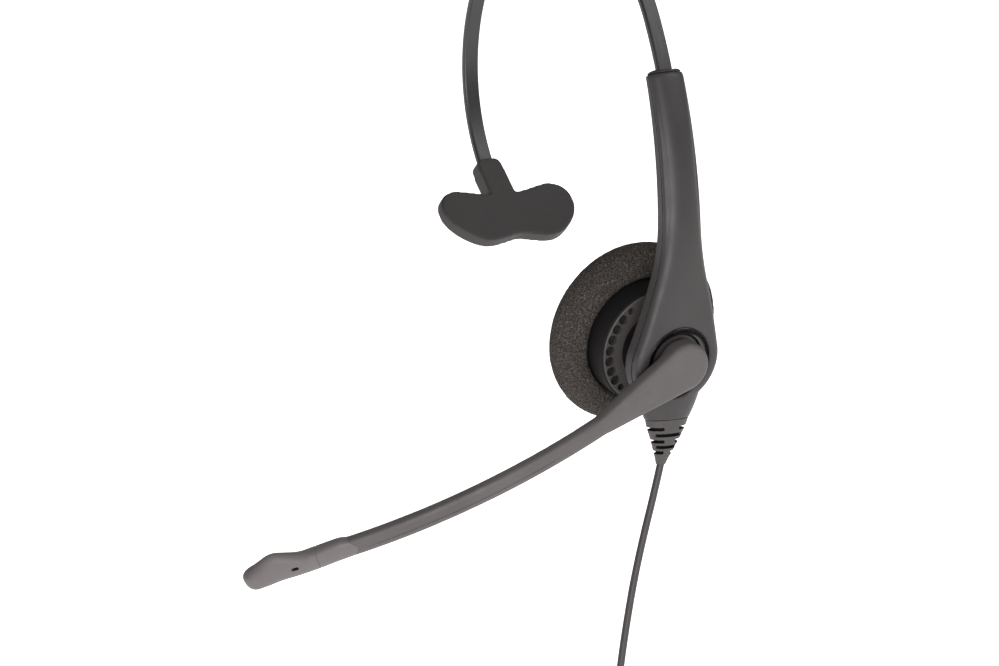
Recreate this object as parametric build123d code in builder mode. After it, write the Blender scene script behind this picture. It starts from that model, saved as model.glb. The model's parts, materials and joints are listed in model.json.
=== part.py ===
from build123d import *
from math import atan2, cos, degrees, hypot, radians, sin, tan
import os

# One-ear wired office headset, in millimetres. +Z is up and the wearer faces -Y.
# The origin is the centre of the ear cushion. The speaker, arm, boom and cord are on the +X side
# and the T-shaped rest pad is on the -X side.

# Headband: a thin strip on two tangent arcs. The arm slides along the side arc.
BAND_WIDTH = 4.5
BAND_THICKNESS = 1.8
SIDE_RADIUS = 127.5
SIDE_CENTRE = (-104.0, 24.7)  # x, z
CROWN_RADIUS = 47.5
CROWN_START = 27.0  # angle at which the side arc runs into the crown arc
CROWN_END = 227.2
BAND_FOOT = -3.0  # angle of the band's lower end, inside the arm
SPRING_WIDTH = 3.0
SPRING_THICKNESS = 0.7
CROWN_CENTRE = (
    SIDE_CENTRE[0] + (SIDE_RADIUS - CROWN_RADIUS) * cos(radians(CROWN_START)),
    SIDE_CENTRE[1] + (SIDE_RADIUS - CROWN_RADIUS) * sin(radians(CROWN_START)),
)

# Arm housing: r is measured from the side arc's centre
ARM_OUTER = SIDE_RADIUS + 3.0
ARM_INNER = SIDE_RADIUS - 3.5  # at the drum
ARM_INNER_MIDDLE, ARM_MIDDLE = SIDE_RADIUS - 2.8, 4.0
ARM_INNER_TOP = SIDE_RADIUS - 1.8
ARM_TOP, ARM_FOOT = 21.0, -25.0  # angles
ARM_TOP_HALF_WIDTH, ARM_TOP_ROUND = 5.0, 2.6
ARM_SPLIT = SIDE_RADIUS
DRUM_RADIUS = 12.9
BEZEL_GAP, BEZEL_FOOT = 20.50, 20.56  # angles
# where the arm widens into the drum: half widths and heights in the ear plane
FLARE_TOP_HALF_WIDTH, FLARE_TOP = 5.75, -28.5
FLARE_HALF_WIDTH, FLARE_FOOT = 12.25, -4.0
SHOULDER_RADIUS = 60.0
HOUSING_BASE = -20.9
SLOT_CLEARANCE = 0.08
CHAMBER_TOP, CHAMBER_FOOT = 10.9, -5.0  # angles
CHAMBER_WIDTH, CHAMBER_THICKNESS = 7.3, 3.1
STOP_WIDTH, STOP_THICKNESS = 7.0, 2.8
GROOVE = 0.35

# Ear axis: from the side arc's centre through the origin. h is the distance along it.
EAR_REACH = hypot(*SIDE_CENTRE)
EAR_TILT = degrees(atan2(SIDE_CENTRE[1], -SIDE_CENTRE[0]))
RECESS_RADIUS, RECESS_FLOOR = 9.6, 22.0
HUB_RADIUS = 3.5
RUNNING_GAP = 0.05
PIVOT_CAVITY_FLOOR, PIVOT_CAVITY_ROOF = 18.2, 20.8
GIMBAL_H = 14.2
GIMBAL_PIN = 0.8
LUG_REACH = 5.2
LUG_THICKNESS = 1.6
LUG_WIDTH = 3.4

# Screws that close the arm: spots are x and y in the ear plane
SCREW_SPOTS = ((0.0, -14.6), (-6.9, 7.9), (6.9, 7.9))
SCREW_HEAD, SCREW_SHANK = 1.35, 0.8
HEAD_SEAT = ARM_INNER - EAR_REACH + 1.4

# Speaker
CUSHION_RADIUS = 25.0
CUSHION_FRONT, CUSHION_BACK = -6.0, 5.4
PLATE_RADIUS = 21.5
REAR_RADIUS = 16.2
REAR_WALL = 10.3
VENT_CIRCLE, VENT_HOLE = 13.9, 1.35

# Boom
BOOM_H = 26.1
BOOM_DROP = 31.0  # angle below straight ahead, degrees
BOOM_STRAIGHT = 18.0
BOOM_BEND = 165.0
BOOM_WIDTH, BOOM_THICKNESS = 5.5, 3.8
BOOM_LENGTH = 108.5
PADDLE_RADIUS, PADDLE_NECK, PADDLE_LENGTH = 6.8, 2.8, 26.0
CAPSULE_LENGTH, CAPSULE_THICKNESS = 20.5, 6.6
MIC_ELEMENT_SPOT, MIC_ELEMENT_RADIUS = (13.0, -0.9), 1.7  # along and across the capsule
WIRE_RADIUS = 0.5

# Housing foot: height, centre x, half width along y, half depth along x
NECK_SECTIONS = ((-7.0, 19.0, 10.6, 2.9), (-14.5, 18.0, 9.3, 3.4), (HOUSING_BASE, 17.1, 6.6, 3.5))

# T-bar
PAD_CENTRE = (-58.6, 0.0, 22.0)
PAD_TILT = 44.0
PAD_OUTLINE = ((0, 7.2), (5.5, 7.4), (10.5, 8.6), (15.2, 9.5), (19.3, 7.6), (20.6, 3.2), (18.8, -1.6),
               (14.6, -5.8), (10.0, -7.9), (5.0, -7.1), (0, -5.8))  # one half, in the pad's plane

# Strain relief
BOOT_TOP = (17.1, 0.0, HOUSING_BASE)
BOOT_END_RADIUS = 1.5
SLOT_ROWS = 5
ANCHOR_TOP = -12.6

# Cord
CORD_DIAMETER = 2.0
CORD_BORE = CORD_DIAMETER / 2 + 0.1
CORD_EXIT = (16.2, -1.2, -33.0)
HANK_TOP, HANK_LENGTH = -101.0, 40.0
HANK_X, HANK_Y = 10.2, -21.4
HANK_DEPTH, HANK_WIDTH = 12.0, 16.0  # along x and y
PLUG_X, PLUG_Y = 14.0, -40.3
TIE_WIDTH = 6.0
LEAD_ROUTE = (
    CORD_EXIT,
    (15.8, -3.0, -41.0),
    (15.3, -5.6, -51.0),
    (15.0, -8.4, -62.5),
    (15.0, -11.0, -75.5),
    (15.0, -13.1, -88.5),
    (15.1, -14.5, HANK_TOP),
)
TAIL_ROUTE = (
    (14.4, -26.3, HANK_TOP),
    (14.4, -26.4, -93.0),
    (14.2, -33.3, -89.0),
    (14.0, -40.2, -93.0),
    (PLUG_X, PLUG_Y, HANK_TOP),
)

# Plug: the contacts' and insulators' stations are distances below its body
PLUG_BODY_TOP, PLUG_BODY_END = HANK_TOP - 8, HANK_TOP - 26
PIN_RADIUS = 1.75
CONTACTS = (("plug_sleeve", 0.0, 5.6), ("plug_ring_1", 6.2, 8.4), ("plug_ring_2", 9.0, 11.0))
INSULATORS = ((5.6, 6.2), (8.4, 9.0), (11.0, 11.6))

os.makedirs("parts", exist_ok=True)


def save(part, name):
    part.label = name
    export_step(part, f"parts/{name}.step")


def ear_plane(h):
    """A plane across the ear axis: local x points forward, local y down, local z outward."""
    tilt = radians(EAR_TILT)
    axis = Vector(cos(tilt), 0, -sin(tilt))
    return Plane(origin=axis * h, x_dir=(0, -1, 0), z_dir=axis)


def thick_arc(centre, radius, start, end, thickness):
    """The region between two arcs about one centre."""
    with BuildSketch() as region:
        with BuildLine():
            outer = CenterArc(centre, radius + thickness / 2, start, end - start)
            inner = CenterArc(centre, radius - thickness / 2, start, end - start)
            Line(outer @ 0, inner @ 0)
            Line(outer @ 1, inner @ 1)
        make_face()
    return region.sketch


def side_strip(start, end, thickness, width, radius=SIDE_RADIUS):
    """A curved bar that follows the side arc."""
    with BuildPart() as bar:
        with BuildSketch(Plane.XZ):
            add(thick_arc(SIDE_CENTRE, radius, start, end, thickness))
        extrude(amount=width / 2, both=True)
    return bar.part


def band_strip(thickness, width, trim):
    """The headband's course as a bar, shortened by an angle at each end."""
    with BuildPart() as bar:
        with BuildSketch(Plane.XZ):
            add(thick_arc(SIDE_CENTRE, SIDE_RADIUS, BAND_FOOT + trim, CROWN_START, thickness))
            add(thick_arc(CROWN_CENTRE, CROWN_RADIUS, CROWN_START, CROWN_END - 2 * trim, thickness))
        extrude(amount=width / 2, both=True)
    return bar.part


# ---------------------------------------------------------------- headband
with BuildPart() as headband_cover:
    add(band_strip(BAND_THICKNESS, BAND_WIDTH, 0))
    long_edges = headband_cover.edges().filter_by(GeomType.CIRCLE)
    fillet(long_edges, 0.55)
    add(band_strip(SPRING_THICKNESS + 0.06, SPRING_WIDTH + 0.06, 1.2), mode=Mode.SUBTRACT)
save(headband_cover.part, "headband_cover")

with BuildPart() as headband_spring:
    add(band_strip(SPRING_THICKNESS, SPRING_WIDTH, 1.25))
save(headband_spring.part, "headband_spring")

with BuildPart() as band_end_stop:
    add(side_strip(BAND_FOOT - 1.6, BAND_FOOT + 1.4, STOP_THICKNESS, STOP_WIDTH))
    fillet(band_end_stop.edges().filter_by(Axis.Y), 0.5)
    add(side_strip(BAND_FOOT, BAND_FOOT + 3, BAND_THICKNESS, BAND_WIDTH), mode=Mode.SUBTRACT)
save(band_end_stop.part, "band_end_stop")

# ---------------------------------------------------------------- T-bar
pad_tilt = radians(PAD_TILT)
pad_normal = Vector(cos(pad_tilt), 0, sin(pad_tilt))


def pad_plane(w):
    """A plane parallel to the pad's face: local x points back, local y up along the band."""
    return Plane(origin=Vector(*PAD_CENTRE) + pad_normal * w, x_dir=(0, 1, 0), z_dir=pad_normal)


def pad_outline(share):
    """The rest pad's two-lobed outline at a share of its full size."""
    half = [(x * share, y * share) for x, y in PAD_OUTLINE]
    with BuildSketch() as outline:
        with BuildLine():
            Spline(*half, tangents=((1, 0), (-1, 0)))
            mirror(about=Plane.YZ)
        make_face()
    return outline.sketch


with BuildPart() as tbar_frame:
    with BuildSketch(pad_plane(-4.6)):
        add(pad_outline(0.97))
    extrude(amount=3.8)
    back = tbar_frame.faces().filter_by(lambda f: f.normal_at().dot(pad_normal) < -0.99)
    chamfer(back.edges(), 0.6)
    with BuildSketch(pad_plane(-4.6)):
        with Locations((0, 12.5)):
            RectangleRounded(8.2, 14.0, 1.2)
    extrude(amount=5.0)
    add(band_strip(BAND_THICKNESS + 0.04, BAND_WIDTH + 0.04, 0), mode=Mode.SUBTRACT)
save(tbar_frame.part, "tbar_frame")

with BuildPart() as tbar_pad:
    with BuildSketch(pad_plane(-0.8)):
        add(pad_outline(1.0))
        with Locations((0, 12.5)):
            Rectangle(8.4, 14.2, mode=Mode.SUBTRACT)
    extrude(amount=1.9)
    front = tbar_pad.faces().filter_by(lambda f: f.normal_at().dot(pad_normal) > 0.99)
    chamfer(front.edges(), 0.7)
save(tbar_pad.part, "tbar_pad")

# ---------------------------------------------------------------- arm housing
def side_point(angle, radius):
    """A point (x, z) from its angle and distance about the side arc's centre."""
    return (SIDE_CENTRE[0] + radius * cos(radians(angle)), SIDE_CENTRE[1] + radius * sin(radians(angle)))


def housing(inset):
    """The arm and its round drum, shrunk by an inset. The arm grows thinner and narrower upwards."""
    stations = ((ARM_TOP, ARM_INNER_TOP), (ARM_MIDDLE, ARM_INNER_MIDDLE), (ARM_FOOT, ARM_INNER))
    with BuildPart() as body:
        with BuildSketch(Plane.XZ):
            with BuildLine():
                outer = CenterArc(SIDE_CENTRE, ARM_OUTER - inset, ARM_FOOT, ARM_TOP - ARM_FOOT)
                inner = ThreePointArc(*[side_point(angle, radius + inset) for angle, radius in stations])
                Line(outer @ 1, inner @ 0)
                Line(inner @ 1, outer @ 0)
            make_face()
        extrude(amount=DRUM_RADIUS + 2, both=True)
        with BuildSketch(ear_plane(-20)) as outline:
            Circle(DRUM_RADIUS)
            right = [(ARM_TOP_HALF_WIDTH, -80), (FLARE_TOP_HALF_WIDTH, FLARE_TOP),
                     (FLARE_HALF_WIDTH, FLARE_FOOT)]
            with BuildLine():
                Polyline(*right, *[(-x, y) for x, y in reversed(right)], close=True)
            make_face()
            fillet([v for v in outline.vertices() if abs(v.Y - FLARE_TOP) < 0.05], SHOULDER_RADIUS)
            if inset:
                offset(amount=-inset, mode=Mode.REPLACE)
        extrude(amount=70, mode=Mode.INTERSECT)
    return body.part


def neck(inset):
    """The housing's foot, which narrows from the drum to the strain relief."""
    with BuildPart() as foot:
        for height, x, half_width, half_depth in NECK_SECTIONS:
            with BuildSketch(Plane.XY.offset(height)):
                with Locations((x, 0)):
                    Ellipse(half_depth - inset, half_width - inset)
        loft()
    return foot.part


def ear_cylinder(radius, low, high, spot=(0, 0)):
    """A plain cylinder along the ear axis, or beside it at a spot in the ear plane."""
    with BuildPart() as plug:
        with BuildSketch(ear_plane(low)):
            with Locations(spot):
                Circle(radius)
        extrude(amount=high - low)
    return plug.part


def pin_bar(direction, radius, reach):
    """A round bar through the gimbal's centre, along the ear plane's x (ahead) or y (down)."""
    centre = ear_plane(GIMBAL_H)
    along = centre.x_dir if direction == "ahead" else centre.y_dir
    with BuildPart() as bar:
        with BuildSketch(Plane(origin=centre.origin, z_dir=along)):
            Circle(radius)
        extrude(amount=reach, both=True)
    return bar.part


with BuildPart() as arm_block:
    add(housing(0))
    fillet(arm_block.edges().filter_by(Axis.Y).sort_by(Axis.Z)[-1], ARM_TOP_ROUND)
    covers = arm_block.faces().filter_by(lambda f: f.area > 500).sort_by(Axis.X)
    fillet(covers[-1].edges().filter_by(lambda e: e.length > 7), 1.9)
    covers = arm_block.faces().filter_by(lambda f: f.area > 500).sort_by(Axis.X)
    fillet(covers[0].edges().filter_by(lambda e: e.length > 7), 0.8)

# a fine groove marks the seam between the covers
with BuildPart() as seam_groove:
    add(side_strip(-30, ARM_TOP + 1, 0.3, 60))
    add(housing(GROOVE), mode=Mode.SUBTRACT)
    add(neck(GROOVE), mode=Mode.SUBTRACT)

with BuildPart() as arm_shell:
    add(arm_block.part)
    add(side_strip(BEZEL_GAP, ARM_TOP + 5, 30, 60), mode=Mode.SUBTRACT)
    add(neck(0))
    add(seam_groove.part, mode=Mode.SUBTRACT)
    # channel for the band, and a wider chamber for its end stop
    channel_width = BAND_WIDTH + 2 * SLOT_CLEARANCE
    channel_thickness = BAND_THICKNESS + 2 * SLOT_CLEARANCE
    add(side_strip(CHAMBER_TOP, ARM_TOP + 2, channel_thickness, channel_width), mode=Mode.SUBTRACT)
    add(side_strip(CHAMBER_FOOT, CHAMBER_TOP, CHAMBER_THICKNESS, CHAMBER_WIDTH), mode=Mode.SUBTRACT)
    # pivot cavity, recess and hub hole
    add(ear_cylinder(8.4, PIVOT_CAVITY_FLOOR, PIVOT_CAVITY_ROOF), mode=Mode.SUBTRACT)
    add(ear_cylinder(RECESS_RADIUS, RECESS_FLOOR, 40), mode=Mode.SUBTRACT)
    add(ear_cylinder(HUB_RADIUS + RUNNING_GAP, PIVOT_CAVITY_FLOOR, 40), mode=Mode.SUBTRACT)
    # cord well above the strain relief
    with BuildSketch(Plane.XY.offset(HOUSING_BASE)):
        with Locations((BOOT_TOP[0], 0)):
            RectangleRounded(4.2, 8.4, 1.2)
    extrude(amount=ANCHOR_TOP - HOUSING_BASE, mode=Mode.SUBTRACT)
    # pocket for the friction clip on the band's outer side
    add(side_strip(14.6, 19.4, 1.4, 4.0, SIDE_RADIUS + 1.3), mode=Mode.SUBTRACT)

# screw bores, whose heads sink into the inner cover
with BuildPart() as screw_bores:
    for spot in SCREW_SPOTS:
        add(ear_cylinder(SCREW_HEAD + 0.1, HEAD_SEAT - 5, HEAD_SEAT, spot))
        add(ear_cylinder(SCREW_SHANK, HEAD_SEAT - 1, HEAD_SEAT + 2.8, spot))

with BuildPart() as arm_outer_cover:
    add(arm_shell.part)
    add(side_strip(-35, 35, 20, 60, ARM_SPLIT - 10), mode=Mode.SUBTRACT)
    add(screw_bores.part, mode=Mode.SUBTRACT)
save(arm_outer_cover.part, "arm_outer_cover")

with BuildPart() as arm_inner_cover:
    add(arm_shell.part)
    add(side_strip(-35, 35, 20, 60, ARM_SPLIT + 10), mode=Mode.SUBTRACT)
    add(screw_bores.part, mode=Mode.SUBTRACT)
    # two lugs carry the speaker's gimbal
    with BuildSketch(ear_plane(GIMBAL_H - 1.6)):
        with Locations((0, LUG_REACH), (0, -LUG_REACH)):
            Rectangle(LUG_WIDTH, LUG_THICKNESS)
    extrude(amount=ARM_INNER - EAR_REACH + 0.9 - GIMBAL_H + 1.6)
    add(pin_bar("down", GIMBAL_PIN + RUNNING_GAP, 9), mode=Mode.SUBTRACT)
save(arm_inner_cover.part, "arm_inner_cover")

with BuildPart() as arm_top_bezel:
    add(arm_block.part)
    add(side_strip(BEZEL_FOOT, ARM_TOP + 5, 30, 60), mode=Mode.INTERSECT)
    add(side_strip(ARM_TOP - 1, ARM_TOP + 2, channel_thickness, channel_width), mode=Mode.SUBTRACT)
save(arm_top_bezel.part, "arm_top_bezel")

# a bowed leaf presses on the band and holds the chosen length
with BuildPart() as friction_clip:
    with BuildSketch(Plane.XZ):
        add(thick_arc(SIDE_CENTRE, SIDE_RADIUS + 1.75, 14.7, 19.3, 0.35))
        for bump in (15.9, 18.1):
            add(thick_arc(SIDE_CENTRE, SIDE_RADIUS + 1.28, bump - 0.25, bump + 0.25, 0.64))
    extrude(amount=1.8, both=True)
save(friction_clip.part, "friction_clip")

with BuildPart() as arm_screws:
    for spot in SCREW_SPOTS:
        add(ear_cylinder(SCREW_SHANK, HEAD_SEAT - 0.5, HEAD_SEAT + 2.7, spot))
        add(ear_cylinder(SCREW_HEAD, HEAD_SEAT - 0.9, HEAD_SEAT, spot))
    with BuildSketch(ear_plane(HEAD_SEAT - 0.9)):
        with Locations(*SCREW_SPOTS):
            RegularPolygon(0.6, 6)
    extrude(amount=0.5, mode=Mode.SUBTRACT)
save(arm_screws.part, "arm_screws")

# ---------------------------------------------------------------- boom pivot
def ear_profile():
    """The half plane in which shapes turned about the ear axis are drawn: x is radius, y is h."""
    base = ear_plane(0)
    return Plane(origin=(0, 0, 0), x_dir=(0, -1, 0), z_dir=base.x_dir.cross(base.z_dir))


def turned(points, chamfer_by=0.0):
    """A ring or disc turned about the ear axis from a closed outline of (radius, h) points."""
    with BuildPart() as ring:
        with BuildSketch(ear_profile()):
            with BuildLine():
                Polyline(*points, close=True)
            make_face()
        revolve(axis=Axis((0, 0, 0), tuple(ear_plane(0).z_dir)))
        if chamfer_by:
            chamfer(ring.edges().filter_by(GeomType.CIRCLE), chamfer_by)
    return ring.part


with BuildPart() as pivot_trim_ring:
    rim = ARM_OUTER - EAR_REACH - 0.3
    add(turned([(7.2, RECESS_FLOOR), (RECESS_RADIUS, RECESS_FLOOR), (RECESS_RADIUS, rim), (9.3, rim),
                (8.6, RECESS_FLOOR + 0.5), (7.2, RECESS_FLOOR + 0.2)]))
save(pivot_trim_ring.part, "pivot_trim_ring")

with BuildPart() as pivot_wave_washer:
    add(turned([(3.75, 20.35), (5.6, 20.55), (5.6, 20.75), (3.75, 20.55)]))
save(pivot_wave_washer.part, "pivot_wave_washer")

with BuildPart() as pivot_retainer:
    add(turned([(0, 19.7), (5.6, 19.7), (5.6, 20.2), (0, 20.2)]))
    with BuildSketch(ear_plane(19)):
        Circle(0.9)
        with Locations(Rotation(0, 0, BOOM_DROP) * Location((2.2, 0))):
            Circle(0.75)
    extrude(amount=3, mode=Mode.SUBTRACT)
save(pivot_retainer.part, "pivot_retainer")

with BuildPart() as pivot_screw:
    add(turned([(0, 18.6), (1.3, 18.6), (1.5, 18.8), (1.5, 19.7), (0.9, 19.7), (0.9, 25.0),
                (0, 25.6)]))
    with BuildSketch(ear_plane(18.6)):
        RegularPolygon(0.7, 6)
    extrude(amount=0.6, mode=Mode.SUBTRACT)
save(pivot_screw.part, "pivot_screw")

# ---------------------------------------------------------------- boom
drop = radians(BOOM_DROP)
base = ear_plane(0)
ahead = base.x_dir * cos(drop) + base.y_dir * sin(drop)
outward = base.z_dir
boom_root = base.z_dir * BOOM_H
boom_side = Plane(origin=boom_root, x_dir=ahead, z_dir=ahead.cross(outward * -1))


def boom_path(start, end):
    """The boom's centre line between two distances from the pivot: straight, then bent inward."""
    with BuildLine(boom_side) as path:
        if start < BOOM_STRAIGHT:
            Line((start, 0), (BOOM_STRAIGHT, 0))
        first = degrees((max(start, BOOM_STRAIGHT) - BOOM_STRAIGHT) / BOOM_BEND)
        last = degrees((end - BOOM_STRAIGHT) / BOOM_BEND)
        CenterArc((BOOM_STRAIGHT, BOOM_BEND), BOOM_BEND, first - 90, last - first)
    return path.wire()


def boom_station(distance):
    """The plane across the boom at a distance along it: local x is its width."""
    turn = max(distance - BOOM_STRAIGHT, 0) / BOOM_BEND
    along = min(distance, BOOM_STRAIGHT) + BOOM_BEND * sin(turn)
    inward = BOOM_BEND * (1 - cos(turn))
    tangent = ahead * cos(turn) - outward * sin(turn)
    return Plane(origin=boom_root + ahead * along - outward * inward,
                 x_dir=boom_side.z_dir, z_dir=tangent)


def boom_bar(start, end, radius):
    """A round bar along the boom's centre line."""
    with BuildPart() as bar:
        with BuildSketch(boom_station(start)):
            Circle(radius)
        sweep(path=boom_path(start, end))
    return bar.part


wire_start = 2.2
with BuildPart() as boom_arm:
    with BuildSketch(ear_plane(24.2)):
        with BuildSketch(mode=Mode.PRIVATE) as rounds:
            Circle(PADDLE_RADIUS)
            with Locations(Rotation(0, 0, BOOM_DROP) * Location((PADDLE_LENGTH, 0))):
                Circle(PADDLE_NECK)
        make_hull(rounds.sketch.edges())
    extrude(amount=3.6)
    paddle_faces = boom_arm.faces().filter_by(lambda f: abs(f.normal_at().dot(outward)) > 0.99)
    fillet(paddle_faces.sort_by(Axis.X)[-1].edges(), 1.3)
    fillet(boom_arm.faces().sort_by(Axis.X)[0].edges(), 0.5)
    with BuildSketch(boom_station(12)):
        RectangleRounded(BOOM_WIDTH, BOOM_THICKNESS - 0.1, 1.6)
    sweep(path=boom_path(12, BOOM_LENGTH))
    add(ear_cylinder(HUB_RADIUS, 20.2, 25))
    add(ear_cylinder(PADDLE_RADIUS, 23.2, 25))
    add(boom_bar(wire_start, BOOM_LENGTH, WIRE_RADIUS + 0.1), mode=Mode.SUBTRACT)
    with BuildSketch(ear_plane(19)):
        with Locations(Rotation(0, 0, BOOM_DROP) * Location((wire_start, 0))):
            Circle(WIRE_RADIUS + 0.1)
    extrude(amount=BOOM_H - 19 + 0.6, mode=Mode.SUBTRACT)
    add(ear_cylinder(0.9, 19, 25.7), mode=Mode.SUBTRACT)
save(boom_arm.part, "boom_arm")

with BuildPart() as boom_wire:
    add(boom_bar(wire_start, BOOM_LENGTH + 3.0, WIRE_RADIUS))
    with BuildSketch(ear_plane(19.2)):
        with Locations(Rotation(0, 0, BOOM_DROP) * Location((wire_start, 0))):
            Circle(WIRE_RADIUS)
    extrude(amount=BOOM_H - 19.2 + WIRE_RADIUS)
save(boom_wire.part, "boom_wire")

# ---------------------------------------------------------------- microphone
capsule = boom_station(BOOM_LENGTH)


def capsule_plane(depth):
    """A plane along the capsule: local x runs to its tip, local y is its width, z faces outward."""
    return Plane(origin=capsule.origin - capsule_inward * depth, x_dir=capsule.z_dir,
                 z_dir=capsule_inward * -1)


capsule_inward = capsule.z_dir.cross(capsule.x_dir)
if capsule_inward.dot(outward) > 0:
    capsule_inward = capsule_inward * -1


def capsule_outline(inset):
    """A rounded paddle, a little wider towards its tip."""
    with BuildSketch() as shape:
        with BuildSketch(mode=Mode.PRIVATE) as rounds:
            for x, radius in ((3.1, 3.0), (7.5, 3.9), (CAPSULE_LENGTH - 4.5, 4.5)):
                with Locations((x, 0)):
                    Circle(radius - inset)
        make_hull(rounds.sketch.edges())
    return shape.sketch


def capsule_half(side):
    """One half of the capsule's shell: side 1 is the outer half, -1 the inner half."""
    half = CAPSULE_THICKNESS / 2
    with BuildPart() as shell:
        with BuildSketch(capsule_plane(0)):
            add(capsule_outline(0))
        extrude(amount=side * half)
        far = shell.faces().sort_by(lambda f: (f.center() - capsule.origin).dot(capsule_inward))
        fillet(far[0 if side > 0 else -1].edges(), 1.9)
        with BuildSketch(capsule_plane(0)):
            add(capsule_outline(0.9))
        extrude(amount=side * (half - 0.9), mode=Mode.SUBTRACT)
        with BuildSketch(capsule_plane(0)):
            with Locations((6.4, 0)):
                SlotOverall(2.4, 1.0, rotation=90)
        extrude(amount=side * (half + 1), mode=Mode.SUBTRACT)
        add(boom_bar(BOOM_LENGTH - 2, BOOM_LENGTH + 2.5, WIRE_RADIUS + 0.1), mode=Mode.SUBTRACT)
    return shell.part


save(capsule_half(1), "mic_cover_outer")
save(capsule_half(-1), "mic_cover_inner")

with BuildPart() as mic_gasket:
    with BuildSketch(capsule_plane(-1.4)):
        with Locations(MIC_ELEMENT_SPOT):
            Circle(2.3)
            Circle(MIC_ELEMENT_RADIUS + 0.05, mode=Mode.SUBTRACT)
    extrude(amount=2.6)
save(mic_gasket.part, "mic_gasket")

with BuildPart() as mic_element:
    with BuildSketch(capsule_plane(-1.1)):
        with Locations(MIC_ELEMENT_SPOT):
            Circle(MIC_ELEMENT_RADIUS)
    extrude(amount=2.0)
save(mic_element.part, "mic_element")

with BuildPart() as boom_end_collar:
    with BuildSketch(boom_station(BOOM_LENGTH - 8.0)):
        RectangleRounded(BOOM_WIDTH + 1.0, BOOM_THICKNESS + 1.0, 2.0)
    with BuildSketch(boom_station(BOOM_LENGTH - 0.1)):
        RectangleRounded(BOOM_WIDTH + 0.7, BOOM_THICKNESS + 1.3, 2.0)
    loft()
    with BuildSketch(boom_station(BOOM_LENGTH - 12)):
        RectangleRounded(BOOM_WIDTH + 0.02, BOOM_THICKNESS - 0.08, 1.6)
    sweep(path=boom_path(BOOM_LENGTH - 12, BOOM_LENGTH + 6), mode=Mode.SUBTRACT)
save(boom_end_collar.part, "boom_end_collar")

# ---------------------------------------------------------------- speaker
with BuildPart() as gimbal_cross:
    with BuildSketch(ear_plane(GIMBAL_H - 1.5)):
        RectangleRounded(4.4, 4.4, 1.0)
    extrude(amount=3.0)
    add(pin_bar("down", GIMBAL_PIN, LUG_REACH + 0.9))
    add(pin_bar("ahead", GIMBAL_PIN, LUG_REACH + 0.9))
save(gimbal_cross.part, "gimbal_cross")

with BuildPart() as speaker_rear_housing:
    add(turned([(14.8, 1.0), (PLATE_RADIUS, 1.0), (PLATE_RADIUS, -0.8), (20.6, -0.8), (20.6, -0.2),
                (14.8, -0.2)]))
    add(turned([(14.8, 0.0), (REAR_RADIUS, 0.0), (REAR_RADIUS, 11.4), (15.7, 11.5), (15.7, REAR_WALL),
                (0, REAR_WALL), (0, REAR_WALL - 1.4), (14.8, REAR_WALL - 1.4)]))
    with BuildSketch(ear_plane(REAR_WALL - 0.5)):
        with Locations((LUG_REACH, 0), (-LUG_REACH, 0)):
            Rectangle(LUG_THICKNESS, LUG_WIDTH)
    extrude(amount=GIMBAL_H + 1.5 - REAR_WALL + 0.5)
    add(pin_bar("ahead", GIMBAL_PIN + RUNNING_GAP, 9), mode=Mode.SUBTRACT)
    # vents through the rear wall, under the plate
    with BuildSketch(ear_plane(REAR_WALL - 3)):
        with PolarLocations(VENT_CIRCLE - 1.6, 12):
            Circle(1.1)
    extrude(amount=3.2, mode=Mode.SUBTRACT)
save(speaker_rear_housing.part, "speaker_rear_housing")

with BuildPart() as vent_cloth:
    add(turned([(10.4, REAR_WALL), (15.6, REAR_WALL), (15.6, REAR_WALL + 0.3),
                (10.4, REAR_WALL + 0.3)]))
save(vent_cloth.part, "vent_cloth")

with BuildPart() as vent_plate:
    add(turned([(10.0, REAR_WALL + 0.3), (15.65, REAR_WALL + 0.3), (15.65, 11.5), (15.3, 11.7),
                (10.0, 11.7)]))
    hole_step = 12.5
    with BuildSketch(ear_plane(REAR_WALL)):
        for side in (0, 180):
            for i in range(-4, 5):
                spot = Rotation(0, 0, side + i * hole_step) * Location((VENT_CIRCLE, 0))
                with Locations(spot):
                    Circle(VENT_HOLE if abs(i) < 4 else 0.7 * VENT_HOLE)
    extrude(amount=3, mode=Mode.SUBTRACT)
save(vent_plate.part, "vent_plate")

with BuildPart() as driver_basket:
    add(turned([(5.2, 1.2), (13.9, -0.4), (14.6, -0.4), (14.6, 0.9), (13.6, 0.9), (7.0, 3.0),
                (5.2, 3.0)]))
save(driver_basket.part, "driver_basket")

with BuildPart() as driver_magnet:
    add(turned([(0, 3.0), (7.4, 3.0), (7.4, 6.0), (0, 6.0)], 0.4))
save(driver_magnet.part, "driver_magnet")

with BuildPart() as driver_diaphragm:
    add(turned([(0, 0.2), (4.4, -0.5), (6.0, 0.2), (10.5, -0.7), (13.9, -0.7), (13.9, -0.9),
                (10.5, -0.95), (6.0, 0.0), (4.4, -0.8), (0, -0.05)]))
save(driver_diaphragm.part, "driver_diaphragm")

with BuildPart() as speaker_grille:
    add(turned([(0, -2.9), (20.0, -2.9), (PLATE_RADIUS, -2.0), (PLATE_RADIUS, -0.8), (20.6, -0.8),
                (20.6, -1.9), (0, -1.9)]))
    with BuildSketch(ear_plane(-4)):
        Circle(0.9)
        for count, radius in ((6, 3.6), (12, 7.2), (18, 10.8), (24, 14.4)):
            with PolarLocations(radius, count):
                Circle(0.9)
    extrude(amount=3, mode=Mode.SUBTRACT)
save(speaker_grille.part, "speaker_grille")

with BuildPart() as cushion_ring:
    add(turned([(REAR_RADIUS + 0.1, 1.0), (22.4, 1.0), (22.4, 1.9), (17.4, 2.1),
                (REAR_RADIUS + 0.1, 2.1)]))
save(cushion_ring.part, "cushion_ring")

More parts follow.
